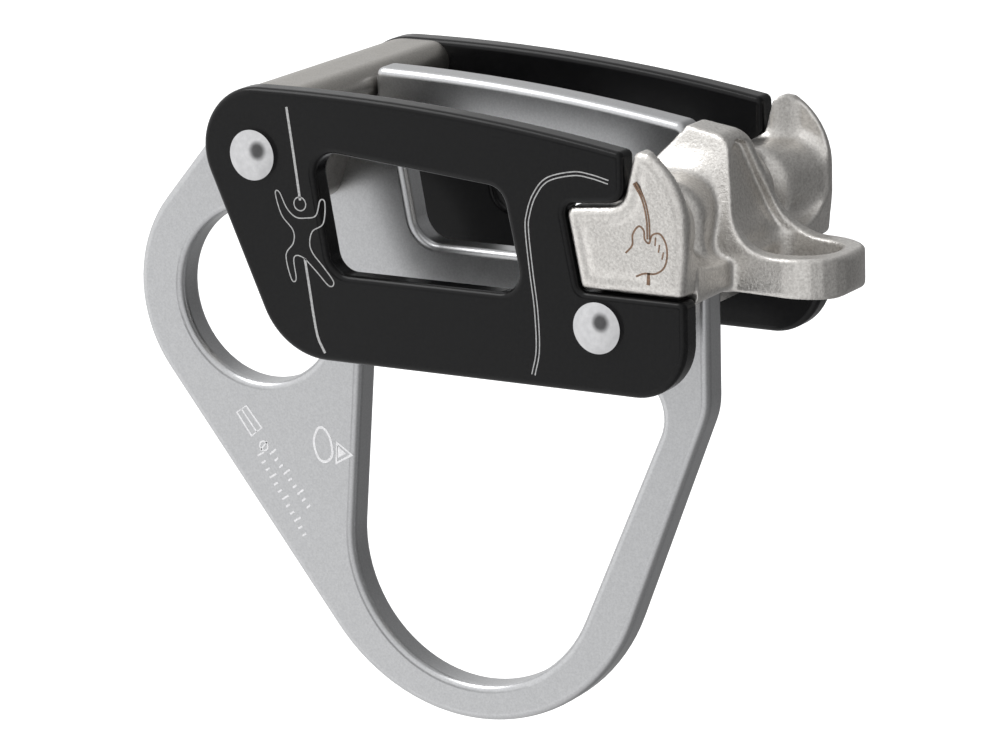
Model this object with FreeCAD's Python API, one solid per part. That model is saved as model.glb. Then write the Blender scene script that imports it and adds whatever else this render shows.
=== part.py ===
"""Belay device with guide plate: two black side plates, a centre plate with a guide hole and a
keeper loop, a cast braking nose with a release loop, a rear crossbar and two through rivets.

Millimetres. The origin is the centre of the guide hole, on the middle plane. +X points to the
braking nose, +Z points up from the keeper loop to the rope side, and Y runs across the plates.
"""
import FreeCAD, Part
import math
import os

V = FreeCAD.Vector

# ---- Driving sizes -------------------------------------------------------------------------
BODY_WIDTH = 35.0              # over the outer faces of the side plates
SIDE_THICKNESS = 3.0
CENTRE_THICKNESS = 3.8
SIDE_EDGE_RADIUS = 0.7         # rounded rims of the side plates
CENTRE_EDGE_RADIUS = 0.9       # rounded rims of the centre plate

GUIDE_HOLE_RADIUS = 10.1
GUIDE_RIM_WIDTH = 5.8

REAR_RIVET_X = 10.5
REAR_RIVET_Z = 20.3
RIVET_SHANK_RADIUS = 2.0
RIVET_HEAD_RADIUS = 2.8
RIVET_HEAD_RIM = 0.45          # straight rim under the dome
RIVET_HEAD_HEIGHT = 1.0        # rim and dome together
RIVET_CLEARANCE = 0.05         # radial, in each riveted hole

PLATE_FRONT_X = 63.2           # front edge of the side plates
PLATE_BOTTOM_Z = -2.05         # lower edge of the side plates
REAR_CORNER_RADIUS = 7.0       # round upper rear end, almost about the rear rivet
HEEL_RADIUS = 8.5              # lower rear corner
HEEL_X = 18.7
TOE_RADIUS = 6.25              # lower front corner
TOP_CROWN_RADIUS = 250.0       # the long bow of the upper edges

NOTCH_DEPTH = 12.9             # from the front edge back to the foot of the notch
NOTCH_HEIGHT = 9.4             # from the notch floor up to the finger
NOTCH_FLOOR_Z = 8.9
FINGER_LENGTH = 5.7            # how far the finger reaches over the notch
FINGER_RADIUS = 1.8
FINGER_LIFT = 0.4              # finger's underside over the notch's rear end
FRONT_RIVET_INSET = 10.3       # behind the front edge
FRONT_RIVET_DROP = 3.6         # under the notch floor

WINDOW_LENGTH = 23.8
WINDOW_HEIGHT = 13.6
WINDOW_SLOPE = 2.2             # how much lower the window is at its front end
WINDOW_LEAN = 2.3              # how far its short sides lean
WINDOW_RADIUS = 2.4
WINDOW_REAR_X = 19.9           # lower rear corner
WINDOW_FLOOR_Z = 7.8
CENTRE_WINDOW_ADVANCE = 1.5    # centre plate's window starts this much further forward
CENTRE_WINDOW_LIFT = 0.4       # and its floor is this much higher
CENTRE_WINDOW_RADIUS = 3.2
FAR_WINDOW_ADVANCE = 2.3       # the same for the far side plate
FAR_WINDOW_LIFT = 1.1

KEEPER_RADIUS = 15.5           # inside of the keeper loop's round end
KEEPER_WALL = 4.2              # band below and in front of the keeper opening
KEEPER_CENTRE_X = 27.3
KEEPER_CENTRE_Z = -26.9
KEEPER_TOP_Z = -3.7
KEEPER_TOP_RADIUS = 5.0
KEEPER_REAR_RADIUS = 3.0
FRONT_STRUT_INSET = 5.6        # centre plate's front edge behind the side plates' front edge
FRONT_STRUT_WIDTH = 5.8
STRUT_BEND_RADIUS = 8.0
KEEPER_BELT_RADIUS = 22.4      # outside of the keeper loop's round end

BAR_INSET = 0.15               # crossbar skin inside the side plates' rear outline
BAR_FRONT_RADIUS = 2.2
BAR_FOOT_RADIUS = 2.7
BAR_FOOT_DROP = 5.2            # foot centre under the rear rivet
BAR_SKIN = 3.05                # metal left over the centre plate's tongue
SLOT_CLEARANCE = 0.05          # each side of the centre plate in the crossbar and the nose

NOSE_GAP = 0.2                 # between the cheeks and the notch they fill
NOSE_SIDE_GAP = 0.05           # between the casting and the inner faces of the side plates
CHEEK_PROUD = 0.15             # cheeks stand this far out of the side plates
CHEEK_ARC_RADIUS = 8.7
CHEEK_TOP = 15.7               # top of the cheeks over the notch floor
CHEEK_EDGE_RADIUS = 0.6
WEB_RIM_HEIGHT = 10.9          # rope saddle over the notch floor
WEB_FLOOR_DROP = 1.0           # web's underside below the notch floor
LIP_HEIGHT = 2.6               # front lip of the web over the notch floor
CREST_HEIGHT = 15.3            # crest over the notch floor
CREST_HALF_WIDTH = 2.0         # at its top
CREST_SPREAD = 0.40            # growth of the half width for each millimetre down
LOOP_RADIUS = 6.4              # outside of the release loop
LOOP_HOLE_RADIUS = 3.7
LOOP_REACH = 5.3               # loop centre in front of the side plates
LOOP_BAND_HEIGHT = 4.5
LOOP_DROP = 1.6                # underside of the loop below the notch floor
LOOP_SWEEP_RADIUS = 5.9        # the hollow sweep from the crest down to the loop
POCKET_DEPTH = 1.3             # recess in the sweep, between the two arms
POCKET_TOP_DROP = 2.0          # its upper end below the crest
ARM_BAND = 1.15                # rim left beside the recess
BARREL_RADIUS = 3.0            # cast barrels round the front rivet

# ---- Sizes that follow ---------------------------------------------------------------------
HALF_WIDTH = BODY_WIDTH / 2
INNER_FACE = HALF_WIDTH - SIDE_THICKNESS
HALF_CENTRE = CENTRE_THICKNESS / 2
NOTCH_FOOT_X = PLATE_FRONT_X - NOTCH_DEPTH
NOTCH_ROOF_Z = NOTCH_FLOOR_Z + NOTCH_HEIGHT
FRONT_RIVET_X = PLATE_FRONT_X - FRONT_RIVET_INSET
FRONT_RIVET_Z = NOTCH_FLOOR_Z - FRONT_RIVET_DROP
TONGUE_TOP_Z = REAR_RIVET_Z + REAR_CORNER_RADIUS - BAR_INSET - BAR_SKIN
REAR_CORNER = (REAR_RIVET_X + 0.4, REAR_RIVET_Z + 0.4, REAR_CORNER_RADIUS)
FINGER_FRONT_X = NOTCH_FOOT_X + FINGER_LENGTH
FINGER_TIP = (FINGER_FRONT_X - 0.8, NOTCH_ROOF_Z + 5.2, 0.8)
CENTRE_TOP_FRONT = (PLATE_FRONT_X - 9.2, NOTCH_ROOF_Z + 4.8, 1.3)
CREST_REAR_X = CENTRE_TOP_FRONT[0] + CENTRE_TOP_FRONT[2] + 2 * SLOT_CLEARANCE


# ---- Outline and solid helpers -------------------------------------------------------------
def turned(vector, angle):
    """A plane vector turned anticlockwise."""
    cos, sin = math.cos(angle), math.sin(angle)
    return (vector[0] * cos - vector[1] * sin, vector[0] * sin + vector[1] * cos)


def inward_normal(start, end):
    """Unit normal of the line that touches two circles, pointing to the outline's inside."""
    across = (end[0] - start[0], end[1] - start[1])
    span = math.hypot(*across)
    share = max(-1.0, min(1.0, (end[2] - start[2]) / span))
    return turned((across[0] / span, across[1] / span), math.acos(share))


def belt(circles, place):
    """Closed outline that runs anticlockwise round circles (x, y, radius) like a belt.

    A negative radius is a hollow corner, which the belt passes on its other side.
    """
    count = len(circles)
    normals = [inward_normal(circles[i], circles[(i + 1) % count]) for i in range(count)]
    edges = []
    for i, (x, y, radius) in enumerate(circles):
        before, after = normals[i - 1], normals[i]
        turn = math.atan2(after[1], after[0]) - math.atan2(before[1], before[0])
        turn = turn % (2 * math.pi) if radius > 0 else -((-turn) % (2 * math.pi))
        middle = turned(before, turn / 2)
        rim = [place(x - radius * n[0], y - radius * n[1]) for n in (before, middle, after)]
        if rim[0].distanceToPoint(rim[2]) > 1e-4:
            edges.append(Part.Arc(*rim).toShape())
        nx, ny, following = after[0], after[1], circles[(i + 1) % count]
        touch = place(following[0] - following[2] * nx, following[1] - following[2] * ny)
        if rim[2].distanceToPoint(touch) > 1e-4:
            edges.append(Part.makeLine(rim[2], touch))
    return Part.Wire(Part.__sortEdges__(edges))


def crown(first, last, radius):
    """Large circle that both end circles touch from inside, for a gently bowed edge."""
    reach_first, reach_last = radius - first[2], radius - last[2]
    across = (last[0] - first[0], last[1] - first[1])
    span = math.hypot(*across)
    along = (span ** 2 + reach_first ** 2 - reach_last ** 2) / (2 * span)
    aside = math.sqrt(reach_first ** 2 - along ** 2)
    unit = (across[0] / span, across[1] / span)
    return (first[0] + unit[0] * along - unit[1] * aside,
            first[1] + unit[1] * along + unit[0] * aside, radius)


def plate(circles, low_y, high_y):
    """Slab between two Y planes whose XZ outline is a belt."""
    wire = belt(circles, lambda x, z: V(x, low_y, z))
    return Part.Face(wire).extrude(V(0, high_y - low_y, 0))


def column(circles, low_z, high_z):
    """Slab between two Z planes whose XY outline is a belt."""
    wire = belt(circles, lambda x, y: V(x, y, low_z))
    return Part.Face(wire).extrude(V(0, 0, high_z - low_z))


def rod(x, z, radius, low_y, high_y):
    """Round bar along Y."""
    return Part.makeCylinder(radius, high_y - low_y, V(x, low_y, z), V(0, 1, 0))


def round_rims(solid, planes, radius):
    """Fillet every edge that lies in one of the given Y planes."""
    rims = [edge for edge in solid.Edges
            if any(abs(edge.BoundBox.YMin - y) < 1e-6 and abs(edge.BoundBox.YMax - y) < 1e-6
                   for y in planes)]
    return solid.makeFillet(radius, rims)


def grown(circles, by):
    """The same belt, moved outwards by a clearance."""
    return [(x, y, radius + by) for x, y, radius in circles]


def rounded_corners(points, radius):
    """Circles of one radius in the corners of a convex outline given anticlockwise."""
    circles = []
    for i, (x, y) in enumerate(points):
        (ax, ay), (bx, by) = points[i - 1], points[(i + 1) % len(points)]
        back = math.atan2(ay - y, ax - x)
        half = ((back - math.atan2(by - y, bx - x)) % (2 * math.pi)) / 2
        reach = radius / math.sin(half)
        circles.append((x + reach * math.cos(back - half), y + reach * math.sin(back - half), radius))
    return circles


# ---- Shared outlines -----------------------------------------------------------------------
def notch_circles():
    """Corners of the side plate's front notch, from the plate's front edge to the finger."""
    return [(PLATE_FRONT_X - 0.9, NOTCH_FLOOR_Z - 0.9, 0.9),
            (NOTCH_FOOT_X + 1.05, NOTCH_FLOOR_Z + 1.0, -1.0),
            (NOTCH_FOOT_X - 0.15, NOTCH_ROOF_Z - 1.2, -1.2),
            (FINGER_FRONT_X - FINGER_RADIUS, NOTCH_ROOF_Z + FINGER_LIFT + FINGER_RADIUS,
             FINGER_RADIUS)]


def window_circles(advance=0.0, lift=0.0, radius=WINDOW_RADIUS):
    """The sloping window of a plate, with its lower rear corner moved forward and up."""
    rear = WINDOW_REAR_X + advance
    floor = WINDOW_FLOOR_Z + lift
    front = WINDOW_REAR_X + WINDOW_LENGTH
    top = WINDOW_FLOOR_Z + WINDOW_HEIGHT
    points = [(rear, floor), (front, floor),
              (front - WINDOW_LEAN, top - WINDOW_SLOPE), (rear - WINDOW_LEAN, top)]
    return rounded_corners(points, radius)


def centre_circles():
    """Outline of the centre plate: ring, keeper loop, front strut, top edge and tongue."""
    front = PLATE_FRONT_X - FRONT_STRUT_INSET
    keeper = (KEEPER_CENTRE_X - 0.4, KEEPER_CENTRE_Z + KEEPER_BELT_RADIUS - KEEPER_RADIUS - KEEPER_WALL,
              KEEPER_BELT_RADIUS)
    top_rear = (REAR_RIVET_X + 7.0, REAR_RIVET_Z + REAR_CORNER_RADIUS - 0.7, 1.0)
    return [keeper,
            (front - STRUT_BEND_RADIUS, KEEPER_TOP_Z - 2.2, STRUT_BEND_RADIUS),
            (front - 1.5, NOTCH_FLOOR_Z + 2.4, 1.5),
            CENTRE_TOP_FRONT,
            crown(CENTRE_TOP_FRONT, top_rear, TOP_CROWN_RADIUS),
            top_rear,
            (REAR_RIVET_X + 5.4, TONGUE_TOP_Z + 0.6, -0.6),
            (REAR_RIVET_X - 3.5, TONGUE_TOP_Z - 2.5, 2.5),
            (REAR_RIVET_X - 9.25, REAR_RIVET_Z - 3.5, 6.0),
            (0.0, 0.0, GUIDE_HOLE_RADIUS + GUIDE_RIM_WIDTH)]


def keeper_circles():
    """Opening of the keeper loop."""
    strut_rear = PLATE_FRONT_X - FRONT_STRUT_INSET - FRONT_STRUT_WIDTH
    return [(KEEPER_CENTRE_X, KEEPER_CENTRE_Z, KEEPER_RADIUS),
            (strut_rear - KEEPER_TOP_RADIUS, KEEPER_TOP_Z - KEEPER_TOP_RADIUS, KEEPER_TOP_RADIUS),
            (KEEPER_CENTRE_X - KEEPER_RADIUS + 1.7 + KEEPER_REAR_RADIUS,
             KEEPER_TOP_Z - KEEPER_REAR_RADIUS, KEEPER_REAR_RADIUS)]


# ---- Sub-parts -----------------------------------------------------------------------------
def side_plate(side):
    """Black outer plate with a window and a front notch for the casting's cheek."""
    circles = [(HEEL_X, PLATE_BOTTOM_Z + HEEL_RADIUS, HEEL_RADIUS),
               (PLATE_FRONT_X - TOE_RADIUS, PLATE_BOTTOM_Z + TOE_RADIUS, TOE_RADIUS)]
    circles += notch_circles()
    circles += [FINGER_TIP, crown(FINGER_TIP, REAR_CORNER, TOP_CROWN_RADIUS), REAR_CORNER]
    low_y, high_y = sorted((side * INNER_FACE, side * HALF_WIDTH))
    solid = plate(circles, low_y, high_y)
    window = window_circles(FAR_WINDOW_ADVANCE, FAR_WINDOW_LIFT) if side > 0 else window_circles()
    solid = solid.cut(plate(window, low_y - 1, high_y + 1))
    solid = round_rims(solid, (low_y, high_y), SIDE_EDGE_RADIUS)
    for x, z in ((REAR_RIVET_X, REAR_RIVET_Z), (FRONT_RIVET_X, FRONT_RIVET_Z)):
        solid = solid.cut(rod(x, z, RIVET_SHANK_RADIUS + RIVET_CLEARANCE, low_y - 1, high_y + 1))
    return solid


def centre_plate():
    """Bright middle plate with the guide hole, the keeper loop and its own window."""
    solid = plate(centre_circles(), -HALF_CENTRE, HALF_CENTRE)
    window = window_circles(CENTRE_WINDOW_ADVANCE, CENTRE_WINDOW_LIFT, CENTRE_WINDOW_RADIUS)
    for opening in (window, keeper_circles()):
        solid = solid.cut(plate(opening, -HALF_WIDTH, HALF_WIDTH))
    solid = solid.cut(rod(0, 0, GUIDE_HOLE_RADIUS, -HALF_WIDTH, HALF_WIDTH))
    solid = round_rims(solid, (-HALF_CENTRE, HALF_CENTRE), CENTRE_EDGE_RADIUS)
    for x, z in ((REAR_RIVET_X, REAR_RIVET_Z), (FRONT_RIVET_X, FRONT_RIVET_Z)):
        solid = solid.cut(rod(x, z, RIVET_SHANK_RADIUS + RIVET_CLEARANCE, -HALF_WIDTH, HALF_WIDTH))
    return solid


def rear_crossbar():
    """Solid bar between the side plates, slotted from below for the centre plate's tongue."""
    corner_x, corner_z, corner_radius = REAR_CORNER
    top = corner_z + corner_radius - BAR_INSET
    circles = [(corner_x, corner_z, corner_radius - BAR_INSET),
               (REAR_RIVET_X - 1.3, REAR_RIVET_Z - BAR_FOOT_DROP, BAR_FOOT_RADIUS),
               (REAR_RIVET_X + 5.9 - BAR_FRONT_RADIUS, top - BAR_FRONT_RADIUS, BAR_FRONT_RADIUS)]
    solid = plate(circles, -INNER_FACE, INNER_FACE)
    half_slot = HALF_CENTRE + SLOT_CLEARANCE
    slot = Part.makeBox(60, 2 * half_slot, 60,
                        V(REAR_RIVET_X - 30, -half_slot, TONGUE_TOP_Z + SLOT_CLEARANCE - 60))
    bore = rod(REAR_RIVET_X, REAR_RIVET_Z, RIVET_SHANK_RADIUS + RIVET_CLEARANCE,
               -HALF_WIDTH, HALF_WIDTH)
    return solid.cut(slot).cut(bore)


def cheek(side):
    """Outer face of the casting that fills one side plate's notch."""
    circles = [(x, z, -radius - NOSE_GAP) for x, z, radius in reversed(notch_circles()[1:])]
    circles += [(PLATE_FRONT_X - 1.1, NOTCH_FLOOR_Z + NOSE_GAP + 0.8, 0.8),
                (PLATE_FRONT_X - 2.7, NOTCH_FLOOR_Z + 5.2, 3.0),
                (PLATE_FRONT_X - CHEEK_ARC_RADIUS + 0.3, NOTCH_ROOF_Z - 1.4, CHEEK_ARC_RADIUS),
                (PLATE_FRONT_X - 5.0, NOTCH_FLOOR_Z + CHEEK_TOP - 1.2, 1.2)]
    low_y, high_y = sorted((side * (INNER_FACE - NOSE_SIDE_GAP), side * (HALF_WIDTH + CHEEK_PROUD)))
    solid = plate(circles, low_y, high_y)
    return round_rims(solid, (side * (HALF_WIDTH + CHEEK_PROUD),), CHEEK_EDGE_RADIUS)


def web():
    """Rope saddle across the casting, with a lip along its front foot."""
    rear = PLATE_FRONT_X - 11.7
    front = PLATE_FRONT_X + 0.2
    wall = front - 2.6
    floor = NOTCH_FLOOR_Z - WEB_FLOOR_DROP
    rim = NOTCH_FLOOR_Z + WEB_RIM_HEIGHT
    lip = NOTCH_FLOOR_Z + LIP_HEIGHT
    circles = [(rear + 1.1, floor + 1.1, 1.1), (front - 1.2, floor + 1.2, 1.2),
               (front - 1.0, lip - 1.0, 1.0), (wall + 1.2, lip + 1.4, -1.2),
               (wall - 4.4, rim - 4.4, 4.4), (rear + 3.5, rim - 3.5, 3.5)]
    half = INNER_FACE - NOSE_SIDE_GAP
    return plate(circles, -half, half)


def crest_and_loop():
    """Crest between the two rope saddles, running down into the release loop."""
    loop_x = PLATE_FRONT_X + LOOP_REACH
    bottom = NOTCH_FLOOR_Z - LOOP_DROP
    band_top = bottom + LOOP_BAND_HEIGHT
    crest_top = NOTCH_FLOOR_Z + CREST_HEIGHT
    front = loop_x + LOOP_RADIUS
    sweep = (CREST_REAR_X + 12.75, band_top + LOOP_SWEEP_RADIUS)
    crest_front = (CREST_REAR_X + 2.4, crest_top - 3.3, 3.3)
    side_view = [(CREST_REAR_X - 2.4, bottom + 2.0, 1.0), (front - 1.5, bottom + 1.5, 1.5),
                 (front - 1.2, band_top - 1.0, 1.0), (*sweep, -LOOP_SWEEP_RADIUS),
                 crest_front, (CREST_REAR_X + 0.3, crest_top - 1.1, 0.7),
                 (CREST_REAR_X - 2.4, crest_top - 4.4, 1.0)]
    root = PLATE_FRONT_X - 6.2
    plan = [(root - 5.0, -4.0, 1.3), (root, -6.0, 1.3), (loop_x, 0.0, LOOP_RADIUS),
            (root, 6.0, 1.3), (root - 5.0, 4.0, 1.3)]
    solid = plate(side_view, -HALF_WIDTH, HALF_WIDTH)
    solid = solid.common(column(plan, bottom - 5, crest_top + 5))
    solid = solid.common(crest_wedge(CREST_HALF_WIDTH, crest_top, bottom - 5, CREST_REAR_X - 8, front + 5))
    recess = [(loop_x, NOTCH_FLOOR_Z + 1.0, 0.5), (*sweep, -LOOP_SWEEP_RADIUS - POCKET_DEPTH),
              (crest_front[0], crest_front[1], crest_front[2] - POCKET_DEPTH),
              (crest_front[0] + 4.0, crest_top - POCKET_TOP_DROP - 0.8, 0.8),
              (front, crest_top - POCKET_TOP_DROP - 0.8, 0.8), (front, NOTCH_FLOOR_Z + 1.0, 0.5)]
    recess = plate(recess, -HALF_WIDTH, HALF_WIDTH)
    recess = recess.common(crest_wedge(CREST_HALF_WIDTH - ARM_BAND, crest_top, NOTCH_FLOOR_Z + 3.4,
                                       CREST_REAR_X - 5, front + 5))
    hole = [(PLATE_FRONT_X + 1.9, -2.0, LOOP_HOLE_RADIUS - 1.35), (loop_x, 0.0, LOOP_HOLE_RADIUS),
            (PLATE_FRONT_X + 1.9, 2.0, LOOP_HOLE_RADIUS - 1.35)]
    return solid.cut(column(hole, bottom - 5, crest_top + 5)).cut(recess)


def crest_wedge(half, top, bottom, rear, front):
    """Prism along X, narrow at the crest and wider towards the loop."""
    low_half = half + CREST_SPREAD * (top - bottom)
    section = Part.makePolygon([V(rear, -half, top), V(rear, half, top),
                                V(rear, low_half, bottom), V(rear, -low_half, bottom),
                                V(rear, -half, top)])
    return Part.Face(section).extrude(V(front - rear, 0, 0))


def rivet_barrel():
    """Cast barrel round the front rivet and the neck that carries it under the web."""
    circles = [(FRONT_RIVET_X, FRONT_RIVET_Z, BARREL_RADIUS),
               (FRONT_RIVET_X + 2.0, NOTCH_FLOOR_Z + 0.6, 1.4),
               (FRONT_RIVET_X + 0.8, NOTCH_FLOOR_Z + 0.6, 1.4)]
    half = INNER_FACE - NOSE_SIDE_GAP
    return plate(circles, -half, half)


def nose_casting():
    """Cheeks, rope saddles, crest, release loop and rivet barrels in one casting."""
    solid = web().fuse([cheek(-1), cheek(1), crest_and_loop(), rivet_barrel()])
    half_slot = HALF_CENTRE + SLOT_CLEARANCE
    slot = plate(grown(centre_circles(), SLOT_CLEARANCE), -half_slot, half_slot)
    bore = rod(FRONT_RIVET_X, FRONT_RIVET_Z, RIVET_SHANK_RADIUS + RIVET_CLEARANCE,
               -HALF_WIDTH, HALF_WIDTH)
    return solid.cut(slot).cut(bore).removeSplitter()


def rivet(x, z):
    """Through rivet with a domed head on each side plate."""
    solid = rod(x, z, RIVET_SHANK_RADIUS, -HALF_WIDTH, HALF_WIDTH)
    dome = RIVET_HEAD_HEIGHT - RIVET_HEAD_RIM
    ball_radius = (RIVET_HEAD_RADIUS ** 2 + dome ** 2) / (2 * dome)
    for side in (-1, 1):
        low_y, high_y = sorted((side * HALF_WIDTH, side * (HALF_WIDTH + RIVET_HEAD_HEIGHT)))
        head = rod(x, z, RIVET_HEAD_RADIUS, low_y, high_y)
        ball_y = side * (HALF_WIDTH + RIVET_HEAD_HEIGHT - ball_radius)
        head = head.common(Part.makeSphere(ball_radius, V(x, ball_y, z)))
        solid = solid.fuse(head)
    return solid.removeSplitter()


def main():
    """Build every sub-part and write one STEP file for each."""
    os.makedirs("parts", exist_ok=True)
    nodes = {
        "side_plate_near": side_plate(-1),
        "side_plate_far": side_plate(1),
        "centre_plate": centre_plate(),
        "rear_crossbar": rear_crossbar(),
        "nose_casting": nose_casting(),
        "rear_rivet": rivet(REAR_RIVET_X, REAR_RIVET_Z),
        "front_rivet": rivet(FRONT_RIVET_X, FRONT_RIVET_Z),
    }
    for name, shape in nodes.items():
        solids = shape.Solids
        print(f"{name}: {len(solids)} solid(s), valid {shape.isValid()}, {shape.Volume:.1f} mm3")
        shape.exportStep(f"parts/{name}.step")


if __name__ == "__main__":
    main()
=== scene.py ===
"""Looks of a belay device: black side plates, a bright centre plate, a bead-blasted nose
casting, a crossbar and polished rivets, on a pale floor in soft studio light.

The frame is the construction model's own: metres, origin at the guide hole's centre, +X to the
braking nose, +Y across the plates and +Z up. Sizes inside the classes are in millimetres, as on
a maker's drawing, and are turned into metres when a mesh is made.
"""

import logging
import math
from dataclasses import dataclass, field
from enum import Enum
from typing import List, Optional, Sequence, Tuple

import bpy
import numpy as np
from mathutils import Matrix, Vector


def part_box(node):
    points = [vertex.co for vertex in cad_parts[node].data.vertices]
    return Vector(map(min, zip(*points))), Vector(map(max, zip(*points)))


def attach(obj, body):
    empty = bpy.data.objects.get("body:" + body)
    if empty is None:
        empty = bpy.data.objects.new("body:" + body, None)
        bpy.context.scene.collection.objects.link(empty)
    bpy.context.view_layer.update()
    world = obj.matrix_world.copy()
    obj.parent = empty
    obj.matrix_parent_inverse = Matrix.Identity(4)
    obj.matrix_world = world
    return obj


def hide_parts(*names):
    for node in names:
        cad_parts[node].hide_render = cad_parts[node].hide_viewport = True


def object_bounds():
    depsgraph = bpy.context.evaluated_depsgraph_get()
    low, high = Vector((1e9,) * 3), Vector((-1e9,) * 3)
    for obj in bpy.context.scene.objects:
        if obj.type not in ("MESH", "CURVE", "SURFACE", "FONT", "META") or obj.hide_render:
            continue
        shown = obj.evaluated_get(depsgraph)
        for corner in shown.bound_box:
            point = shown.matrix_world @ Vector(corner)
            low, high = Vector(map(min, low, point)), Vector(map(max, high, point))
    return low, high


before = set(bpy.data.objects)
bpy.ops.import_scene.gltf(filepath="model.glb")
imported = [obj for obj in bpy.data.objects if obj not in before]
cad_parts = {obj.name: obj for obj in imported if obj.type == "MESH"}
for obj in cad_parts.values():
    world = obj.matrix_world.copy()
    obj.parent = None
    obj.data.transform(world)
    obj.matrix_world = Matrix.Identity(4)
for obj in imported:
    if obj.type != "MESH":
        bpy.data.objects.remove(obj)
CAD_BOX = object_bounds()

LOG = logging.getLogger("belay_device")
MM = 0.001
BODY = "root"

Colour = Tuple[float, float, float]
Circle = Tuple[float, float, float]
Array = np.ndarray


# ---- Small numpy helpers --------------------------------------------------------------------
def smooth_min(a: Array, b: Array, blend) -> Array:
    """Union of two distance fields with a fillet: the lower value, eased where they are close.

    Args:
        a: First field.
        b: Second field.
        blend: Width of the fillet, a number or an array.

    Returns:
        The blended field.
    """
    share = np.clip(0.5 + 0.5 * (b - a) / blend, 0.0, 1.0)
    return b * (1.0 - share) + a * share - blend * share * (1.0 - share)


def smooth_max(a: Array, b: Array, blend) -> Array:
    """Overlap of two distance fields with a rounded edge: the smooth minimum, upside down."""
    return -smooth_min(-a, -b, blend)


def ease(value: Array, low: float, high: float) -> Array:
    """Smooth step from 0 at low to 1 at high."""
    t = np.clip((value - low) / (high - low), 0.0, 1.0)
    return t * t * (3.0 - 2.0 * t)


def bump(value: Array, centre: float, width: float) -> Array:
    """Bell curve of height 1 about a centre."""
    return np.exp(-((value - centre) / width) ** 2)


def belt(circles: Sequence[Circle], steps: int = 14) -> Array:
    """Outline that runs anticlockwise round signed circles like a belt.

    Each run touches two neighbouring circles, and each arc turns from one run's normal to the
    next's. A negative radius is a hollow corner, passed on its other side.

    Args:
        circles: Centre and signed radius of each circle.
        steps: Points on each arc.

    Returns:
        Points in order, one row each.
    """
    rings = np.asarray(circles, dtype=float)
    following = np.roll(rings, -1, axis=0)
    across = following[:, :2] - rings[:, :2]
    span = np.hypot(across[:, 0], across[:, 1])
    share = np.clip((following[:, 2] - rings[:, 2]) / span, -1.0, 1.0)
    after = np.arctan2(across[:, 1], across[:, 0]) + np.arccos(share)
    before = np.roll(after, 1)
    sign = np.where(rings[:, 2] > 0, 1.0, -1.0)
    turn = sign * np.mod(sign * (after - before), 2 * math.pi)
    theta = before[:, None] + turn[:, None] * np.linspace(0.0, 1.0, steps)
    normal = np.stack([np.cos(theta), np.sin(theta)], axis=-1)
    return (rings[:, None, :2] - rings[:, None, 2:] * normal).reshape(-1, 2)


@dataclass(frozen=True)
class Section:
    """Signed distance to a flat outline, kept as a table: negative inside the outline."""

    low: Tuple[float, float]
    step: float
    table: Array

    @classmethod
    def of(cls, circles: Sequence[Circle], margin: float = 9.0, step: float = 0.125) -> "Section":
        """Tabulate the distance to a belt.

        The distance to each run is the length left after taking off the part along the run, and
        a place is inside where a ray to the right crosses the outline an odd number of times.

        Args:
            circles: The belt's signed circles.
            margin: How far the table goes past the outline.
            step: Spacing of the table.

        Returns:
            The table.
        """
        points = belt(circles).astype(np.float32)
        low, high = points.min(axis=0) - margin, points.max(axis=0) + margin
        across = np.arange(low[0], high[0], step, dtype=np.float32)
        upward = np.arange(low[1], high[1], step, dtype=np.float32)
        px, py = (g.reshape(-1, 1) for g in np.meshgrid(across, upward, indexing="ij"))
        ax, ay = points[:, 0], points[:, 1]
        bx, by = np.roll(ax, -1), np.roll(ay, -1)
        run = np.maximum((bx - ax) ** 2 + (by - ay) ** 2, 1e-12)
        along = np.clip(((px - ax) * (bx - ax) + (py - ay) * (by - ay)) / run, 0.0, 1.0)
        gap = np.hypot(px - ax - along * (bx - ax), py - ay - along * (by - ay)).min(axis=1)
        rise = np.where(by == ay, 1e-9, by - ay)
        crossed = ((ay > py) != (by > py)) & (px < ax + (py - ay) / rise * (bx - ax))
        sign = np.where(crossed.sum(axis=1) % 2 == 1, -1.0, 1.0)
        return cls((float(low[0]), float(low[1])), step,
                   (gap * sign).reshape(len(across), len(upward)).astype(np.float32))

    def at(self, x: Array, y: Array) -> Array:
        """Distance at any places, read from the table by straight interpolation both ways."""
        i = np.clip((x - self.low[0]) / self.step, 0, self.table.shape[0] - 1.001)
        j = np.clip((y - self.low[1]) / self.step, 0, self.table.shape[1] - 1.001)
        i0, j0 = i.astype(np.int32), j.astype(np.int32)
        fi, fj = i - i0, j - j0
        t = self.table
        return ((t[i0, j0] * (1 - fi) + t[i0 + 1, j0] * fi) * (1 - fj)
                + (t[i0, j0 + 1] * (1 - fi) + t[i0 + 1, j0 + 1] * fi) * fj)


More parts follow.
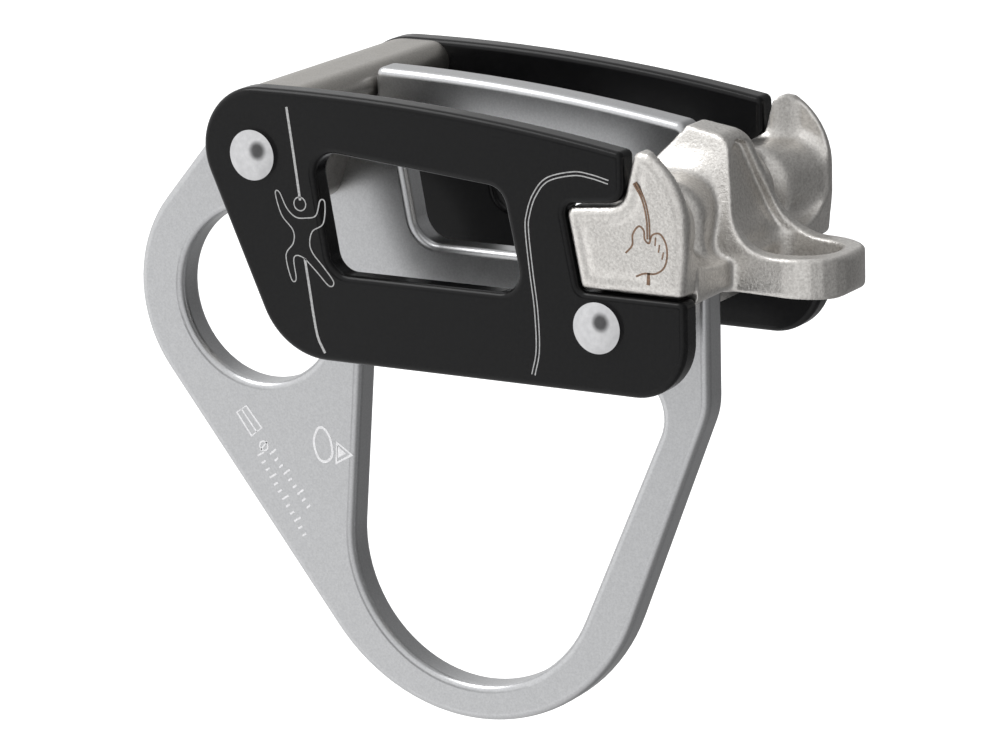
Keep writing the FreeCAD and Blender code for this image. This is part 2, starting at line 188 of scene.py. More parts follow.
@dataclass(frozen=True)
class Skin:
    """Closed surface where a field on a regular grid passes through zero."""

    low: Array
    step: float
    values: Array

    def sample(self, points: Array) -> Array:
        """Field at any points, interpolated between the eight nearest grid places."""
        place = (points - self.low) / self.step
        place = np.clip(place, 0, np.array(self.values.shape) - 1.001)
        i = place.astype(np.int32)
        f = place - i
        total = np.zeros(len(points))
        for corner in range(8):
            d = np.array([(corner >> 2) & 1, (corner >> 1) & 1, corner & 1])
            weight = np.prod(np.where(d, f, 1.0 - f), axis=1)
            q = i + d
            total += weight * self.values[q[:, 0], q[:, 1], q[:, 2]]
        return total

    def slope(self, points: Array) -> Array:
        """Direction in which the field grows, from differences over one grid step."""
        reach = np.eye(3) * self.step
        return np.stack([(self.sample(points + r) - self.sample(points - r)) / (2 * self.step)
                         for r in reach], axis=1)

    def corners(self) -> Tuple[Array, Array]:
        """One vertex in each cell that the surface passes through.

        The vertex is the mean of the places where the cell's twelve edges meet the surface.

        Returns:
            The vertices, and a table of each cell's vertex number or -1.
        """
        v = self.values
        cells = tuple(n - 1 for n in v.shape)
        total, count = np.zeros(cells + (3,), np.float32), np.zeros(cells, np.float32)
        for axis in range(3):
            others = [a for a in range(3) if a != axis]
            for shift in range(4):
                start = [0, 0, 0]
                start[others[0]], start[others[1]] = shift & 1, shift >> 1
                end = list(start)
                end[axis] = 1
                a = v[tuple(slice(s, s + n) for s, n in zip(start, cells))]
                b = v[tuple(slice(s, s + n) for s, n in zip(end, cells))]
                cut = (a < 0) != (b < 0)
                share = np.where(cut, a / np.where(cut, a - b, 1.0), 0.0)
                count += cut
                for k in range(3):
                    total[..., k] += cut * (start[k] + (share if k == axis else 0.0))
        used = count > 0
        number = np.full(cells, -1, np.int64)
        number[used] = np.arange(int(used.sum()))
        index = np.argwhere(used)
        return (index + total[used] / count[used][:, None]) * self.step + self.low, number

    def quads(self, number: Array) -> Array:
        """One face round each grid edge that the surface cuts, wound to face outwards."""
        v = self.values
        faces = []
        for axis in range(3):
            b, c = (axis + 1) % 3, (axis + 2) % 3
            inner = [slice(1, -1)] * 3
            inner[axis] = slice(0, -1)
            ahead = list(inner)
            ahead[axis] = slice(1, None)
            first, second = v[tuple(inner)] < 0, v[tuple(ahead)] < 0
            place = np.argwhere(first != second)
            leaving = first[first != second]
            place[:, b] += 1
            place[:, c] += 1
            around = []
            for db, dc in ((-1, -1), (0, -1), (0, 0), (-1, 0)):
                cell = place.copy()
                cell[:, b] += db
                cell[:, c] += dc
                around.append(number[cell[:, 0], cell[:, 1], cell[:, 2]])
            ring = np.stack(around, axis=1)
            faces.append(np.where(leaving[:, None], ring, ring[:, ::-1]))
        return np.concatenate(faces)

    def mesh(self, settle: int = 4) -> Tuple[Array, Array]:
        """Vertices and faces, the vertices drawn onto the surface along the field's slope."""
        points, number = self.corners()
        faces = self.quads(number)
        for _ in range(settle):
            slope = self.slope(points)
            size = np.maximum((slope ** 2).sum(axis=1), 0.05)
            points = points - slope * (self.sample(points) / size)[:, None] * 0.85
        return points, faces


def make_piece(name: str, points: Array, faces: Sequence[Sequence[int]],
               finish: "bpy.types.Material", smooth: bool = True) -> "bpy.types.Object":
    """Make one object from points in millimetres, and set it on the device's body.

    Args:
        name: Name of the piece.
        points: Points in the row frame, in millimetres.
        faces: Corner numbers of each face.
        finish: The piece's material.
        smooth: Shade it smooth.

    Returns:
        The new object.
    """
    mesh = bpy.data.meshes.new(name)
    mesh.from_pydata((np.asarray(points) * MM).tolist(), [], np.asarray(faces).tolist())
    mesh.materials.append(finish)
    mesh.polygons.foreach_set("use_smooth", np.full(len(mesh.polygons), smooth))
    mesh.update()
    piece = bpy.data.objects.new(name, mesh)
    bpy.context.collection.objects.link(piece)
    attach(piece, BODY)
    LOG.info("%s: %d points, %d faces", name, len(mesh.vertices), len(mesh.polygons))
    return piece


# ---- Finishes -------------------------------------------------------------------------------
class Nodes:
    """Short way to wire a material's nodes."""

    def __init__(self, name: str) -> None:
        """Start a material with a Principled shader and object coordinates."""
        self.material = bpy.data.materials.new(name)
        self.material.use_nodes = True
        self.tree = self.material.node_tree
        self.shader = self.tree.nodes["Principled BSDF"]
        self.place = self.tree.nodes.new("ShaderNodeTexCoord").outputs["Object"]

    def set(self, **values: object) -> None:
        """Set the shader's own sockets, an underscore standing for a space."""
        for name, value in values.items():
            self.shader.inputs[name.replace("_", " ")].default_value = value

    def link(self, start: object, end: object) -> None:
        """Join two sockets."""
        self.tree.links.new(start, end)

    def noise(self, size: float, detail: float = 2.0, rough: float = 0.5,
              stretch: Optional[Colour] = None) -> object:
        """Noise whose grains are about size millimetres wide.

        Args:
            size: Width of a grain in millimetres.
            detail: Octaves.
            rough: Strength of the finer octaves.
            stretch: Factors along x, y and z, to draw the grains out.

        Returns:
            The noise's value socket.
        """
        node = self.tree.nodes.new("ShaderNodeTexNoise")
        node.inputs["Scale"].default_value = 1.0 / (size * MM)
        node.inputs["Detail"].default_value = detail
        node.inputs["Roughness"].default_value = rough
        source = self.place
        if stretch is not None:
            turn = self.tree.nodes.new("ShaderNodeMapping")
            turn.inputs["Scale"].default_value = stretch
            self.link(source, turn.inputs["Vector"])
            source = turn.outputs["Vector"]
        self.link(source, node.inputs["Vector"])
        return node.outputs["Fac"]

    def ramp(self, value: object, *stops: Tuple[float, Colour]) -> object:
        """Colour that follows a value through stops of (place, colour)."""
        node = self.tree.nodes.new("ShaderNodeValToRGB")
        band = node.color_ramp
        while len(band.elements) < len(stops):
            band.elements.new(0.5)
        for element, (place, colour) in zip(band.elements, stops):
            element.position = place
            element.color = (*colour, 1.0)
        self.link(value, node.inputs["Fac"])
        return node.outputs["Color"]

    def span(self, value: object, low: float, high: float) -> object:
        """Value spread from its middle half to a new range."""
        node = self.tree.nodes.new("ShaderNodeMapRange")
        node.inputs["From Min"].default_value = 0.3
        node.inputs["From Max"].default_value = 0.7
        node.inputs["To Min"].default_value = low
        node.inputs["To Max"].default_value = high
        self.link(value, node.inputs["Value"])
        return node.outputs["Result"]

    def relief(self, height: object, strength: float, depth: float,
               under: Optional[object] = None) -> object:
        """Bump from a height, depth in millimetres, on top of another bump."""
        node = self.tree.nodes.new("ShaderNodeBump")
        node.inputs["Strength"].default_value = strength
        node.inputs["Distance"].default_value = depth * MM
        self.link(height, node.inputs["Height"])
        if under is not None:
            self.link(under, node.inputs["Normal"])
        return node.outputs["Normal"]


@dataclass(frozen=True)
class BlackAnodised:
    """Satin black anodised aluminium: near black, a fine even grain, a soft grey sheen."""

    name: str = "black_anodised"
    dark: Colour = (0.0030, 0.0030, 0.0033)
    pale: Colour = (0.0060, 0.0060, 0.0063)
    roughness: Tuple[float, float] = (0.20, 0.27)

    def material(self) -> "bpy.types.Material":
        """Wire the finish."""
        n = Nodes(self.name)
        n.set(Metallic=0.0, IOR=1.30)
        n.link(n.ramp(n.noise(0.35, 3.0), (0.3, self.dark), (0.7, self.pale)),
               n.shader.inputs["Base Color"])
        n.link(n.span(n.noise(1.7, 4.0, 0.6), *self.roughness), n.shader.inputs["Roughness"])
        n.link(n.relief(n.noise(0.16, 2.0), 0.22, 0.012), n.shader.inputs["Normal"])
        return n.material


@dataclass(frozen=True)
class SatinAluminium:
    """Tumbled and clear-anodised plate: an even pale grey with a fine satin grain."""

    name: str = "satin_aluminium"
    dark: Colour = (0.50, 0.505, 0.515)
    pale: Colour = (0.60, 0.605, 0.615)
    roughness: Tuple[float, float] = (0.29, 0.32)
    grain: float = 0.22

    def material(self) -> "bpy.types.Material":
        """Wire the finish."""
        n = Nodes(self.name)
        n.set(Metallic=1.0)
        n.link(n.ramp(n.noise(self.grain, 3.0, 0.6), (0.3, self.dark), (0.7, self.pale)),
               n.shader.inputs["Base Color"])
        n.link(n.span(n.noise(1.2, 4.0, 0.6), *self.roughness), n.shader.inputs["Roughness"])
        n.link(n.relief(n.noise(self.grain, 2.0), 0.05, 0.006), n.shader.inputs["Normal"])
        return n.material


@dataclass(frozen=True)
class BlastedSteel:
    """Cast steel, shot-blasted: warm pale grey, pitted with grains about a quarter millimetre."""

    name: str = "blasted_steel"
    dark: Colour = (0.58, 0.56, 0.535)
    pale: Colour = (0.80, 0.78, 0.75)
    roughness: Tuple[float, float] = (0.32, 0.42)
    grain: float = 0.30
    pits: float = 0.9

    def material(self) -> "bpy.types.Material":
        """Wire the finish: fine grain over broader unevenness."""
        n = Nodes(self.name)
        n.set(Metallic=1.0)
        grain = n.noise(self.grain, 3.0, 0.65)
        n.link(n.ramp(grain, (0.32, self.dark), (0.66, self.pale)), n.shader.inputs["Base Color"])
        n.link(n.span(n.noise(2.2, 3.0), *self.roughness), n.shader.inputs["Roughness"])
        broad = n.relief(n.noise(1.6, 3.0, 0.6), 0.35, 0.05)
        n.link(n.relief(grain, self.pits, 0.05, broad), n.shader.inputs["Normal"])
        return n.material


@dataclass(frozen=True)
class PolishedSteel:
    """Polished rivet steel with the faintest haze."""

    name: str = "polished_steel"
    colour: Colour = (0.52, 0.52, 0.53)
    pale: Colour = (0.60, 0.60, 0.61)
    roughness: Tuple[float, float] = (0.06, 0.12)

    def material(self) -> "bpy.types.Material":
        """Wire the finish."""
        n = Nodes(self.name)
        n.set(Metallic=1.0)
        n.link(n.ramp(n.noise(0.8, 3.0), (0.3, self.colour), (0.7, self.pale)),
               n.shader.inputs["Base Color"])
        n.link(n.span(n.noise(0.7, 3.0), *self.roughness), n.shader.inputs["Roughness"])
        n.link(n.relief(n.noise(1.4, 1.0), 0.10, 0.02), n.shader.inputs["Normal"])
        return n.material


@dataclass(frozen=True)
class LaserMark:
    """Laser marking: a matt line, a little uneven along its length."""

    name: str = "laser_mark"
    dark: Colour = (0.26, 0.26, 0.27)
    pale: Colour = (0.42, 0.42, 0.43)
    metallic: float = 0.0

    def material(self) -> "bpy.types.Material":
        """Wire the finish."""
        n = Nodes(self.name)
        n.set(Metallic=self.metallic)
        n.link(n.ramp(n.noise(0.25, 3.0), (0.3, self.dark), (0.7, self.pale)),
               n.shader.inputs["Base Color"])
        n.link(n.span(n.noise(0.5, 2.0), 0.45, 0.65), n.shader.inputs["Roughness"])
        n.link(n.relief(n.noise(0.12, 2.0), 0.25, 0.01), n.shader.inputs["Normal"])
        return n.material


class Slot(Enum):
    """Material slot names of the record."""

    BLACK = "black_plate"
    BRIGHT = "bright_plate"
    CASTING = "casting"


# ---- Plates, crossbar and rivets ------------------------------------------------------------
@dataclass
class PlateBody:
    """The construction model's own pieces, each dressed in its finish."""

    black: BlackAnodised = field(default_factory=BlackAnodised)
    bright: SatinAluminium = field(default_factory=SatinAluminium)
    bar: BlastedSteel = field(default_factory=lambda: BlastedSteel(
        name="fine_cast_steel", dark=(0.44, 0.425, 0.40), pale=(0.56, 0.54, 0.51),
        roughness=(0.38, 0.48), grain=0.22, pits=0.18))
    steel: PolishedSteel = field(default_factory=PolishedSteel)

    def dress(self) -> None:
        """Give each piece its finish in every one of its slots."""
        finishes = {
            ("side_plate_near", "side_plate_far"): self.black.material(),
            ("centre_plate",): self.bright.material(),
            ("rear_crossbar",): self.bar.material(),
            ("rear_rivet", "front_rivet"): self.steel.material(),
        }
        for names, finish in finishes.items():
            for name in names:
                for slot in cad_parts[name].material_slots:
                    slot.material = finish
                LOG.info("%s dressed in %s", name, finish.name)


# ---- Nose casting ---------------------------------------------------------------------------
@dataclass
class NoseCasting:
    """The cast braking nose: two cheeks, a rope saddle each side of a crest, and the release
    loop that the crest runs down into.

    It is worked out as one distance field. Its coordinates are u, forwards from the side
    plates' front edge, s, the distance from the middle plane, and w, up from the notch floor.
    """

    grid: float = 0.25
    inner_face: float = 14.45
    outer_face: float = 17.65
    cheek_inside: float = 16.2
    front_rivet_drop: float = 3.6
    front_rivet_inset: float = 10.3
    fit: float = 0.1
    crest_half: float = 2.0
    crest_top: float = 15.3
    crest_spread: float = 0.40
    band: float = 1.15
    pocket_depth: float = 1.25
    pocket_top: float = 13.7
    slot_half: float = 1.95
    bore: float = 2.05
    flute_place: float = 9.7
    flute_depth: float = 1.5
    rim_groove: float = 0.16
    rim_fall: float = 0.30
    cheek: Tuple[Circle, ...] = ((-9.0, 11.6, -2.0), (-13.05, 8.2, 1.0), (-11.85, 1.0, 0.8),
                                 (-0.95, 1.0, 0.8), (-2.7, 5.2, 3.0), (-8.4, 8.0, 8.7),
                                 (-5.0, 14.5, 1.2))
    saddle: Tuple[Circle, ...] = ((-10.6, 0.1, 1.1), (-1.0, 0.0, 1.0), (-0.45, 1.9, 0.45),
                                  (-0.2, 4.6, -2.2), (-6.8, 6.5, 4.4), (-8.2, 7.4, 3.5))
    crest: Tuple[Circle, ...] = ((-10.2, 0.4, 1.0), (10.2, -0.1, 1.5), (10.5, 1.9, 1.0),
                                 (4.95, 8.8, -5.9), (-4.6, 12.2, 2.6), (-7.5, 14.65, 0.7),
                                 (-10.2, 10.9, 1.0))
    arms: Tuple[Circle, ...] = ((-11.2, -4.0, 1.3), (-6.2, -6.0, 1.3), (5.3, 0.0, 6.4),
                                (-6.2, 6.0, 1.3), (-11.2, 4.0, 1.3))
    opening: Tuple[Circle, ...] = ((1.9, -2.0, 2.35), (5.3, 0.0, 3.7), (1.9, 2.0, 2.35))
    barrel: Tuple[Circle, ...] = ((-10.3, -3.6, 3.0), (-8.3, 0.6, 1.4), (-9.5, 0.6, 1.4))
    plate: Tuple[Circle, ...] = ((-13.6, -14.8, 8.05), (-7.1, 2.4, 1.55), (-9.2, 14.2, 1.35),
                                 (-30.0, 14.2, 1.35), (-30.0, -14.8, 8.05))
    finish: BlastedSteel = field(default_factory=BlastedSteel)

    def origin(self) -> Array:
        """Place of u = s = w = 0 in the row frame, in millimetres, from the parts round it."""
        plate_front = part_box("side_plate_near")[1].x / MM
        low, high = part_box("front_rivet")
        return np.array([plate_front, 0.0, (low.z + high.z) / 2 / MM + self.front_rivet_drop])

    def web_field(self, u: Array, s: Array, w: Array) -> Array:
        """Rope saddle: one section carried across, which climbs and comes forward to the cheek.

        The section rises with the square of the way from the valley to the cheek, and leans
        forward by a power of it, but keeps its foot. A flute runs down the front by the cheek's
        root.
        """
        way = np.clip((s - 8.6) / 5.9, 0.0, 1.3)
        scoop = np.clip((s - 9.6) / 6.8, 0.0, 1.05)
        forward = 2.5 * scoop ** 1.15 * ease(w, 2.6, 6.0)
        flute = self.flute_depth * bump(s, self.flute_place, 0.85) * ease(w, 2.4, 4.5)
        flute = flute * (1.0 - ease(w, 8.5, 12.0)) * ease(u, -9.0, -5.5)
        rise = 1.3 * way ** 2.5 * ease(w, 0.0, 2.0) * (1.0 - ease(w, 6.0, 10.0))
        web = Section.of(self.saddle).at(u - forward + flute, w - rise)
        spare = 1.4 * np.maximum(15.2 - s, 0.0)
        brow = np.where(w > 5.2, np.hypot(u + 8.4, w - 8.0) - 8.7, u - 0.4) - spare
        return smooth_max(web, brow, 0.8)

    def crest_field(self, u: Array, y: Array, w: Array) -> Array:
        """Crest and loop: side view, plan and tapering flanks together, hollowed in front."""
        s = np.abs(y)
        side = Section.of(self.crest).at(u, w)
        plan = Section.of(self.arms).at(u, y)
        flank = (s - self.crest_half - self.crest_spread * (self.crest_top - w)) * 0.93
        solid = smooth_max(smooth_max(side, plan, 0.5), flank, 0.4)
        inside = self.crest_half - self.band + self.crest_spread * (self.crest_top - w)
        inside = np.minimum(inside, 2.4 * np.sqrt(np.maximum(self.pocket_top - w, 0.0)))
        inside = smooth_min(inside, np.full_like(inside, 4.5), 0.5)
        pocket = smooth_max(-(side + self.pocket_depth), s - inside, 0.5)
        pocket = np.maximum(pocket, np.maximum(3.5 - w, -u - 5.0))
        draft = 0.15 * np.maximum(w - 0.6, 0.0) + 0.04 * np.maximum(0.6 - w, 0.0) - 0.15
        through = Section.of(self.opening).at(u, y) - draft
        return smooth_max(solid, -smooth_min(pocket, through, 0.6), 0.35)

    def field(self, u: Array, y: Array, w: Array) -> Array:
        """The whole casting's field, from its parts with fillets between them."""
        s = np.abs(y)
        cheek_side = Section.of(self.cheek).at(u, w) + self.fit
        web = self.web_field(u, s, w)
        crest = self.crest_field(u, y, w)
        blend = 0.8 + 2.2 * ease(w, 8.5, 13.0)
        solid = smooth_min(web, crest, blend)
        root = 0.9 + 0.8 * ease(w, 5.0, 10.0)
        inside = self.inner_face + 0.2 + (self.cheek_inside - self.inner_face) * ease(u, -6.5, -3.0)
        solid = smooth_min(solid, np.maximum(cheek_side, inside - s), root)
        solid = np.maximum(solid, np.minimum(s - self.inner_face, cheek_side))
        groove = self.rim_groove * bump(cheek_side, -1.5, 0.5) * (1.0 - ease(u, -6.0, -2.5))
        fall = self.rim_fall * ease(cheek_side, -1.1, 0.0)
        solid = smooth_max(solid, s - self.outer_face + groove + fall, 0.6)
        barrel = np.maximum(Section.of(self.barrel).at(u, w), s - self.inner_face)
        solid = smooth_min(solid, barrel, 0.4)
        slot = np.maximum(Section.of(self.plate).at(u, w), s - self.slot_half)
        bore = np.hypot(u + self.front_rivet_inset, w + self.front_rivet_drop) - self.bore
        return np.maximum(np.maximum(solid, -slot), -bore)

    def build(self) -> None:
        """Work out the surface and let it stand for the construction model's casting."""
        low, high = (np.array(corner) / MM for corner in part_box("nose_casting"))
        origin = self.origin()
        start = low - origin - 3 * self.grid
        count = np.ceil((high - low) / self.grid).astype(int) + 7
        axes = [(start[k] + self.grid * np.arange(count[k])).astype(np.float32) for k in range(3)]
        u, y, w = np.meshgrid(*axes, indexing="ij")
        skin = Skin(start, self.grid, self.field(u, y, w).astype(np.float32))
        points, faces = skin.mesh()
        piece = make_piece("nose_casting_skin", points + origin, faces, self.finish.material())
        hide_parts("nose_casting")


# ---- Laser marks ----------------------------------------------------------------------------
@dataclass(frozen=True)
class Stroke:
    """One marked line: points across and up, in the row frame, and the line's width."""

    points: Tuple[Tuple[float, float], ...]
    width: float = 0.16
    closed: bool = False
    curved: bool = True

    def path(self) -> Array:
        """Points along the line, eased between the given ones by a Catmull-Rom curve."""
        given = np.array(self.points)
        if not self.curved:
            return given
        if self.closed:
            given = np.vstack([given[-1], given, given[:2]])
        else:
            given = np.vstack([2 * given[0] - given[1], given, 2 * given[-1] - given[-2]])
        t = np.linspace(0.0, 1.0, 9)[:-1, None, None]
        a, b, c, d = (given[None, k:len(given) - 3 + k] for k in range(4))
        run = 0.5 * (2 * b + (c - a) * t + (2 * a - 5 * b + 4 * c - d) * t ** 2
                     + (3 * b - a - 3 * c + d) * t ** 3)
        run = run.transpose(1, 0, 2).reshape(-1, 2)
        return run if self.closed else np.vstack([run, given[-2]])

    def ribbon(self, low_y: float, high_y: float) -> Tuple[Array, Array]:
        """Four-sided bar along the line, between two heights.

        Each point's bar corners lie half the width to either side, square to the line.
        """
        path = self.path()
        if self.closed:
            along = np.roll(path, -1, axis=0) - np.roll(path, 1, axis=0)
        else:
            along = np.gradient(path, axis=0)
        along /= np.linalg.norm(along, axis=1)[:, None]
        side = np.stack([-along[:, 1], along[:, 0]], axis=1) * self.width / 2
        left, right = path + side, path - side
        corners = [np.insert(edge, 1, y, axis=1) for edge, y in
                   ((left, low_y), (right, low_y), (right, high_y), (left, high_y))]
        points = np.stack(corners, axis=1).reshape(-1, 3)
        count = len(path)
        first = np.arange(count if self.closed else count - 1)
        second = (first + 1) % count
        faces = [np.stack([first * 4 + k, second * 4 + k, second * 4 + (k + 1) % 4,
                           first * 4 + (k + 1) % 4], axis=1) for k in range(4)]
        faces = np.concatenate(faces)
        if not self.closed:
            last = 4 * (count - 1)
            faces = np.vstack([faces, [0, 1, 2, 3], [last + 3, last + 2, last + 1, last]])
        return points, faces[:, ::-1]


def beside(points: Sequence[Tuple[float, float]], gap: float) -> Tuple[Tuple[float, float], ...]:
    """The same run of points, moved square to itself by a gap."""
    run = np.array(points)
    along = np.gradient(run, axis=0)
    along /= np.linalg.norm(along, axis=1)[:, None]
    return tuple(map(tuple, run + gap * np.stack([-along[:, 1], along[:, 0]], axis=1)))


def ring(x: float, z: float, radius: float, count: int = 12) -> Tuple[Tuple[float, float], ...]:
    """Points round a circle."""
    angle = np.linspace(0.0, 2 * math.pi, count, endpoint=False)
    return tuple(zip(x + radius * np.cos(angle), z + radius * np.sin(angle)))


@dataclass
class Marks:
    """Thin laser lines: a climber and the rope's way on the near plate, a hand on the rope on
    the near cheek, and plain signs on the centre plate. Places are from a point behind the
    rear rivet's centre by the lead."""

    proud: float = 0.02
    sunk: float = 0.04
    lead: float = 0.5
    cheek_proud: float = 0.15
    rope_rear: Tuple[Tuple[float, float], ...] = (
        (4.9, 5.6), (5.6, 0.5), (6.25, -4.6))
    rope_below: Tuple[Tuple[float, float], ...] = (
        (6.6, -11.0), (7.1, -14.5), (7.5, -17.4), (7.95, -19.7), (8.8, -21.4))
    rope_front: Tuple[Tuple[float, float], ...] = (
        (44.4, 0.75), (42.3, 1.2), (40.2, 1.3), (37.1, 0.4), (35.5, -1.4), (34.7, -3.5),
        (34.5, -5.3), (34.9, -9.6), (35.4, -13.9), (35.5, -18.2), (34.9, -21.0))
    climber: Tuple[Tuple[float, float], ...] = (
        (3.1, -4.1), (3.6, -3.9), (4.5, -5.6), (5.6, -6.5), (6.9, -6.5), (8.2, -6.1), (8.8, -4.4),
        (9.4, -4.6), (9.1, -6.9), (7.7, -7.9), (7.3, -9.3), (7.7, -10.4), (9.0, -11.8),
        (10.2, -13.3), (9.6, -13.8), (7.9, -12.2), (6.3, -10.9), (5.2, -11.1), (5.4, -13.4),
        (4.8, -13.5), (4.2, -10.9), (5.2, -9.4), (5.2, -8.0), (3.8, -6.4))
    head: Tuple[float, float, float] = (6.2, -5.0, 0.75)
    grip_rope: Tuple[Tuple[float, float], ...] = (
        (47.6, 1.0), (48.6, -0.7), (49.1, -2.8), (49.15, -4.9))
    grip_hand: Tuple[Tuple[float, float], ...] = (
        (46.4, -6.6), (47.2, -5.7), (47.3, -4.5), (48.0, -3.6), (48.6, -4.0), (48.7, -4.9),
        (49.2, -5.3), (49.6, -4.4), (50.5, -4.2), (51.2, -5.2), (51.3, -6.6), (50.9, -7.8),
        (49.9, -8.5), (48.6, -8.6), (47.6, -9.0))
    grip_tail: Tuple[Tuple[float, float], ...] = ((49.1, -8.5), (49.0, -9.8))
    body_plate: LaserMark = field(default_factory=lambda: LaserMark(
        name="pale_laser", dark=(0.26, 0.26, 0.26), pale=(0.44, 0.44, 0.44)))
    body_cheek: LaserMark = field(default_factory=lambda: LaserMark(
        name="burnt_laser", dark=(0.10, 0.055, 0.03), pale=(0.22, 0.13, 0.08)))
    body_centre: LaserMark = field(default_factory=lambda: LaserMark(
        name="frosted_laser", dark=(0.60, 0.60, 0.61), pale=(0.74, 0.74, 0.75)))

    def draw(self, name: str, strokes: Sequence[Stroke], face_y: float, finish: LaserMark) -> None:
        """Put strokes on a face that looks to the near side.

        Args:
            name: Name of the piece.
            strokes: The lines.
            face_y: The face's place across the plates.
            finish: The mark's finish.
        """
        low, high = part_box("rear_rivet")
        anchor = np.array([(low.x + high.x) / 2, 0.0, (low.z + high.z) / 2]) / MM
        anchor[0] -= self.lead
        points, faces, count = [], [], 0
        for stroke in strokes:
            p, f = stroke.ribbon(face_y - self.proud, face_y + self.sunk)
            points.append(p + anchor)
            faces.append(f + count)
            count += len(p)
        piece = make_piece(name, np.vstack(points), np.vstack(faces), finish.material(), False)

    def near_plate(self) -> List[Stroke]:
        """Rope lines, the front one drawn double, and the climber that holds the rear one."""
        strokes = [Stroke(run, 0.30) for run in (self.rope_rear, self.rope_below)]
        strokes += [Stroke(beside(self.rope_front, gap), 0.13) for gap in (-0.2, 0.2)]
        return strokes + [Stroke(self.climber, 0.13, True),
                          Stroke(ring(*self.head), 0.13, True)]

    def near_cheek(self) -> List[Stroke]:
        """A hand that holds the rope's free end."""
        knuckles = [Stroke(((50.0 + 0.45 * k, -4.6 - 0.75 * k), (49.9 + 0.4 * k, -5.5 - 0.7 * k)),
                           0.16, curved=False) for k in range(3)]
        return [Stroke(beside(self.grip_rope, -0.14), 0.2), Stroke(beside(self.grip_rope, 0.14), 0.2),
                Stroke(self.grip_hand, 0.2), Stroke(self.grip_tail, 0.34)] + knuckles

    def centre(self) -> List[Stroke]:
        """Snap link, arrow head, leaflet, diameter sign and two rows of plain ticks."""
        link = ((-2.4, -35.0), (-3.0, -36.6), (-2.5, -38.4), (-1.5, -38.8), (-0.6, -37.9),
                (-0.8, -36.1), (-1.5, -35.0))
        head = ((0.1, -36.4), (2.0, -37.6), (-0.1, -38.8))
        leaf = ((-13.3, -34.3), (-12.0, -33.4), (-10.0, -35.8), (-11.4, -36.9))
        spine = ((-12.65, -33.85), (-10.7, -36.35))
        strokes = [Stroke(link, 0.3, True), Stroke(head, 0.45, True, False),
                   Stroke(((0.35, -37.0), (0.9, -37.5), (0.25, -38.0)), 0.7, True, False),
                   Stroke(leaf, 0.25, True, False), Stroke(spine, 0.2, False, False),
                   Stroke(ring(-9.8, -37.9, 0.55), 0.18, True),
                   Stroke(((-10.3, -38.5), (-9.3, -37.3)), 0.18, False, False)]
        for start, end, count in (((-9.0, -38.8), (-4.3, -44.6), 9), ((-10.7, -39.2), (-5.0, -48.0), 12)):
            way = np.array(end) - np.array(start)
            across = np.array([way[1], -way[0]]) / np.linalg.norm(way) * -0.55
            for k in range(count):
                foot = np.array(start) + way * k / (count - 1)
                reach = 1.0 if k % 3 == 0 else 0.6
                strokes.append(Stroke((tuple(foot), tuple(foot + across * 2 * reach)), 0.22,
                                      False, False))
        return strokes

    def build(self) -> None:
        """Mark the near plate, the near cheek and the centre plate."""
        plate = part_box("side_plate_near")[0].y / MM
        self.draw("near_plate_marks", self.near_plate(), plate, self.body_plate)
        self.draw("cheek_marks", self.near_cheek(), plate - self.cheek_proud, self.body_cheek)
        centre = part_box("centre_plate")[0].y / MM
        self.draw("centre_plate_marks", self.centre(), centre, self.body_centre)


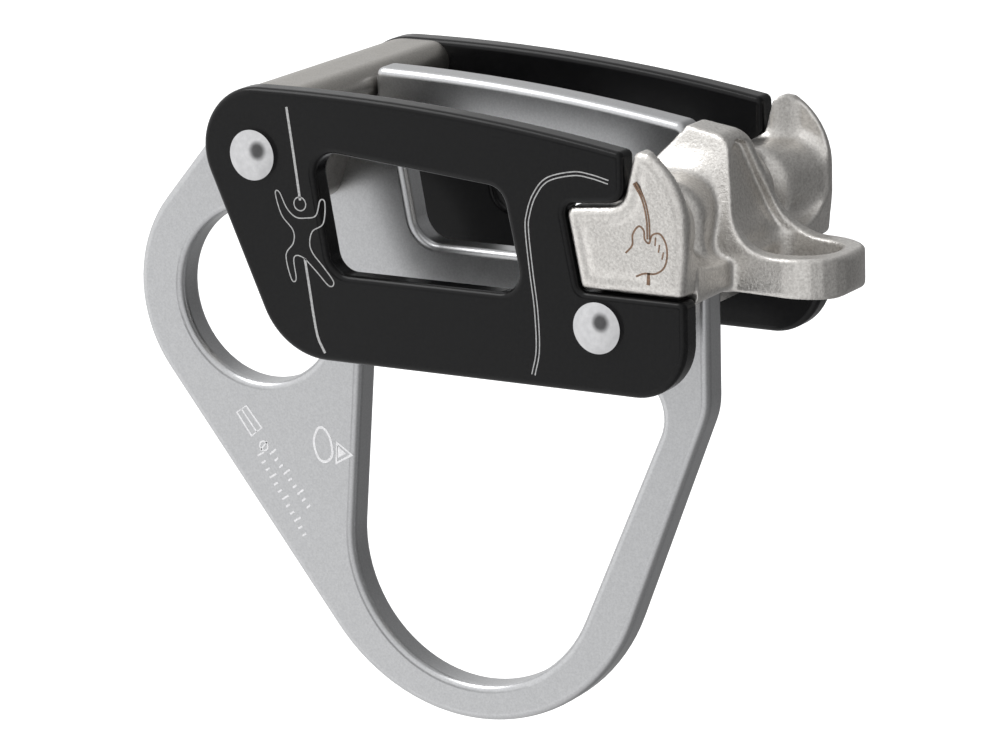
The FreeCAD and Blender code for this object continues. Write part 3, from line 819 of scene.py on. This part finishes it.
# ---- Studio ---------------------------------------------------------------------------------
@dataclass
class Studio:
    """Pale floor, soft light, and a camera that looks from the near side, a little from above.

    The lead is how far behind the rear rivet's centre the camera's line of sight starts.
    """

    turn: float = math.radians(30.31)
    height: float = math.radians(14.47)
    roll: float = math.radians(-1.41)
    lead: float = 0.5
    distance: float = 551.0
    aside: float = 18.43
    above: float = -28.01
    lens: float = 177.68
    floor_drop: float = 60.0
    floor_reach: float = 6.0
    lamp_way: Tuple[float, float, float] = (-0.49, -0.25, 0.84)
    lamp_distance: float = 0.9
    lamp_size: float = 0.45
    lamp_power: float = 2.6
    bright_side: Tuple[float, float, float] = (-0.80, -0.60, 0.10)
    greys: Tuple[Tuple[float, float], ...] = (
        (0.0, 0.16), (0.08, 0.24), (0.30, 0.30), (0.42, 0.58), (0.50, 0.78), (0.74, 0.95),
        (0.88, 1.12), (1.0, 1.16))
    dark_spot: Tuple[float, float, float] = (-0.29, -0.95, -0.05)
    spot_edges: Tuple[float, float] = (0.955, 0.988)
    spot_level: float = 0.15

    def camera(self) -> None:
        """Stand the camera off the rear rivet along its line of sight, then shift it aside."""
        sa, ca = math.sin(self.turn), math.cos(self.turn)
        se, ce = math.sin(self.height), math.cos(self.height)
        forward = Vector((-sa * ce, ca * ce, -se))
        right, up = Vector((ca, sa, 0.0)), Vector((-sa * se, ca * se, ce))
        cr, sr = math.cos(self.roll), math.sin(self.roll)
        rolled, upright = right * cr + up * sr, up * cr - right * sr
        low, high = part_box("rear_rivet")
        offset = rolled * self.aside + upright * self.above - forward * self.distance
        offset.x -= self.lead
        data = bpy.data.cameras.new("camera")
        data.lens, data.sensor_width = self.lens, 36.0
        data.clip_start, data.clip_end = 0.01, 10.0
        camera = bpy.data.objects.new("camera", data)
        camera.matrix_world = Matrix.Translation((low + high) / 2 + offset * MM) @ Matrix(
            (rolled, upright, -forward)).transposed().to_4x4()
        bpy.context.collection.objects.link(camera)
        bpy.context.scene.camera = camera

    def floor(self) -> None:
        """Wide pale floor below the device, out of its mirror finish."""
        size, level = self.floor_reach, CAD_BOX[0].z - self.floor_drop * MM
        mesh = bpy.data.meshes.new("floor")
        mesh.from_pydata([(-size, -size, level), (size, -size, level), (size, size, level),
                          (-size, size, level)], [], [(0, 1, 2, 3)])
        n = Nodes("floor_white")
        n.set(Base_Color=(0.92, 0.92, 0.92, 1.0), Roughness=0.9,
              Emission_Color=(1.0, 1.0, 1.0, 1.0), Emission_Strength=0.60)
        mesh.materials.append(n.material)
        floor = bpy.data.objects.new("floor", mesh)
        floor.visible_glossy = False
        bpy.context.collection.objects.link(floor)

    def light(self, name: str, aim: Vector, toward: Vector, distance: float, size: float,
              power: float) -> None:
        """Square soft light that hangs along a direction from the device and faces it."""
        data = bpy.data.lights.new(name, "AREA")
        data.shape, data.size, data.energy = "SQUARE", size, power
        light = bpy.data.objects.new(name, data)
        toward = toward.normalized()
        light.location = aim + toward * distance
        light.rotation_mode = "QUATERNION"
        light.rotation_quaternion = toward.to_track_quat("Z", "Y")
        bpy.context.collection.objects.link(light)

    def lights(self) -> None:
        """One soft light over the device's left."""
        aim = (CAD_BOX[0] + CAD_BOX[1]) / 2
        self.light("over_left", aim, Vector(self.lamp_way), self.lamp_distance, self.lamp_size,
                   self.lamp_power)

    def world(self) -> None:
        """Surroundings that are bright to the front left and darken to the back right.

        The brightness follows how far a direction turns towards the bright side. One soft dark
        spot in front gives the rivet heads and the black plates something to mirror.
        """
        world = bpy.data.worlds.new("studio")
        bpy.context.scene.world = world
        world.use_nodes = True
        tree = world.node_tree
        place = tree.nodes.new("ShaderNodeTexCoord")
        dot = tree.nodes.new("ShaderNodeVectorMath")
        dot.operation = "DOT_PRODUCT"
        dot.inputs[1].default_value = Vector(self.bright_side).normalized()
        ramp = tree.nodes.new("ShaderNodeValToRGB")
        spread = tree.nodes.new("ShaderNodeMapRange")
        spread.inputs["From Min"].default_value = -1.0
        tree.links.new(place.outputs["Generated"], dot.inputs[0])
        tree.links.new(dot.outputs["Value"], spread.inputs["Value"])
        tree.links.new(spread.outputs["Result"], ramp.inputs["Fac"])
        band = ramp.color_ramp
        while len(band.elements) < len(self.greys):
            band.elements.new(0.5)
        for element, (at, grey) in zip(band.elements, self.greys):
            element.position, element.color = at, (grey, grey, grey, 1.0)
        shade = tree.nodes.new("ShaderNodeVectorMath")
        shade.operation = "DOT_PRODUCT"
        shade.inputs[1].default_value = Vector(self.dark_spot).normalized()
        fall = tree.nodes.new("ShaderNodeMapRange")
        low, high = self.spot_edges
        fall.inputs["From Min"].default_value, fall.inputs["From Max"].default_value = low, high
        fall.inputs["To Min"].default_value = 1.0
        fall.inputs["To Max"].default_value = self.spot_level
        tree.links.new(place.outputs["Generated"], shade.inputs[0])
        tree.links.new(shade.outputs["Value"], fall.inputs["Value"])
        tree.links.new(ramp.outputs["Color"], tree.nodes["Background"].inputs["Color"])
        tree.links.new(fall.outputs["Result"], tree.nodes["Background"].inputs["Strength"])

    def build(self) -> None:
        """Make everything round the device."""
        view = bpy.context.scene.view_settings
        view.view_transform, view.look = "Standard", "None"
        self.camera()
        self.floor()
        self.lights()
        self.world()


def main() -> None:
    """Build the looks piece by piece."""
    logging.basicConfig(level=logging.INFO, format="%(message)s")
    Studio().build()
    PlateBody().dress()
    NoseCasting().build()
    Marks().build()


if __name__ == "__main__":
    main()
